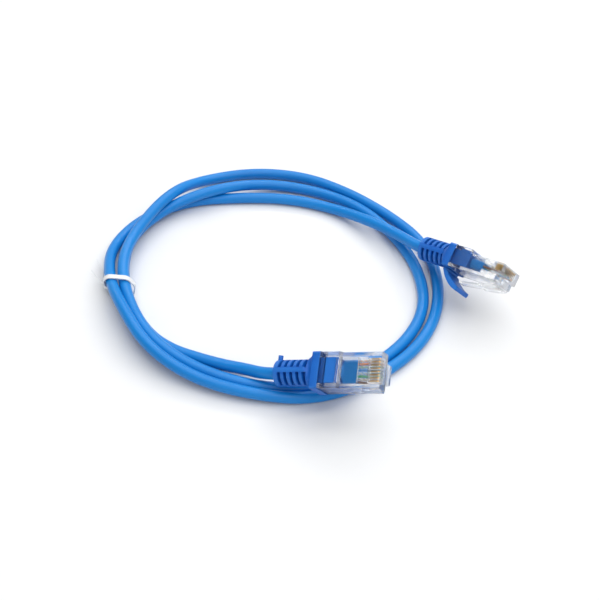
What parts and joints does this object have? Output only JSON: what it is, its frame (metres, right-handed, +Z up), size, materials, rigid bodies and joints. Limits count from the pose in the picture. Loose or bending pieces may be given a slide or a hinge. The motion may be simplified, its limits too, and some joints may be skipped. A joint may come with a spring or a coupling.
{
  "type": "ethernet patch cable",
  "caption": "Coiled round patch cable held by a twist tie, with a clear modular plug, a ribbed boot and a hinged snag guard on each end.",
  "frame": {"origin": "on the surface the cable lies on, under the middle of the bounding box of the plugs and the tie", "axes": "+Z up; +X from the tied side of the coil towards the plugs; -Y towards the front plug (a)"},
  "size_m": [0.148, 0.1299, 0.027],
  "materials": {
    "jacket": "satin",
    "boot": "satin",
    "clear_shell": "clear",
    "contact": "gold plated",
    "wire_white_orange": "smooth",
    "wire_orange": "smooth",
    "wire_white_green": "smooth",
    "wire_blue": "smooth",
    "wire_white_blue": "smooth",
    "wire_green": "smooth",
    "wire_white_brown": "smooth",
    "wire_brown": "smooth",
    "tie": "smooth",
    "tie_wire": "drawn"
  },
  "bodies": {
    "cable": {"a_boot": "boot", "a_contact_blades": "contact", "a_housing": "clear_shell", "a_jacket_end": "jacket", "a_wire_1": "wire_white_orange", "a_wire_2": "wire_orange", "a_wire_3": "wire_white_green", "a_wire_4": "wire_blue", "a_wire_5": "wire_white_blue", "a_wire_6": "wire_green", "a_wire_7": "wire_white_brown", "a_wire_8": "wire_brown", "b_boot": "boot", "b_contact_blades": "contact", "b_housing": "clear_shell", "b_jacket_end": "jacket", "b_wire_1": "wire_white_orange", "b_wire_2": "wire_orange", "b_wire_3": "wire_white_green", "b_wire_4": "wire_blue", "b_wire_5": "wire_white_blue", "b_wire_6": "wire_green", "b_wire_7": "wire_white_brown", "b_wire_8": "wire_brown", "cable_jacket": "jacket", "tie_wire": "tie_wire", "twist_tie": "tie"},
    "a_guard": {"a_snag_guard": "boot"},
    "a_latch": {"a_latch": "clear_shell"},
    "b_guard": {"b_snag_guard": "boot"},
    "b_latch": {"b_latch": "clear_shell"}
  },
  "joints": [
    {"name": "a_guard_press", "type": "hinge", "parent": "cable", "child": "a_guard", "pos_m": [0.00818, -0.0246, 0.01022], "axis": [-0.1218, -0.8885, -0.4424], "range_deg": [0, 14], "stiffness_Nm_per_rad": 0.02},
    {"name": "a_latch_press", "type": "hinge", "parent": "cable", "child": "a_latch", "pos_m": [0.02626, -0.03106, 0.01821], "axis": [0.1218, 0.8885, 0.4424], "range_deg": [0, 6.6]},
    {"name": "b_guard_press", "type": "hinge", "parent": "cable", "child": "b_guard", "pos_m": [0.0521, 0.02274, 0.0112], "axis": [-0.5789, -0.2858, 0.7636], "range_deg": [0, 14], "stiffness_Nm_per_rad": 0.02},
    {"name": "b_latch_press", "type": "hinge", "parent": "cable", "child": "b_latch", "pos_m": [0.06661, 0.00905, 0.01707], "axis": [0.5789, 0.2858, -0.7636], "range_deg": [0, 6.6]}
  ],
  "couplings": [
    {"joint": "a_latch_press", "follows": "a_guard_press", "ratio": 0.47},
    {"joint": "b_latch_press", "follows": "b_guard_press", "ratio": 0.47}
  ]
}
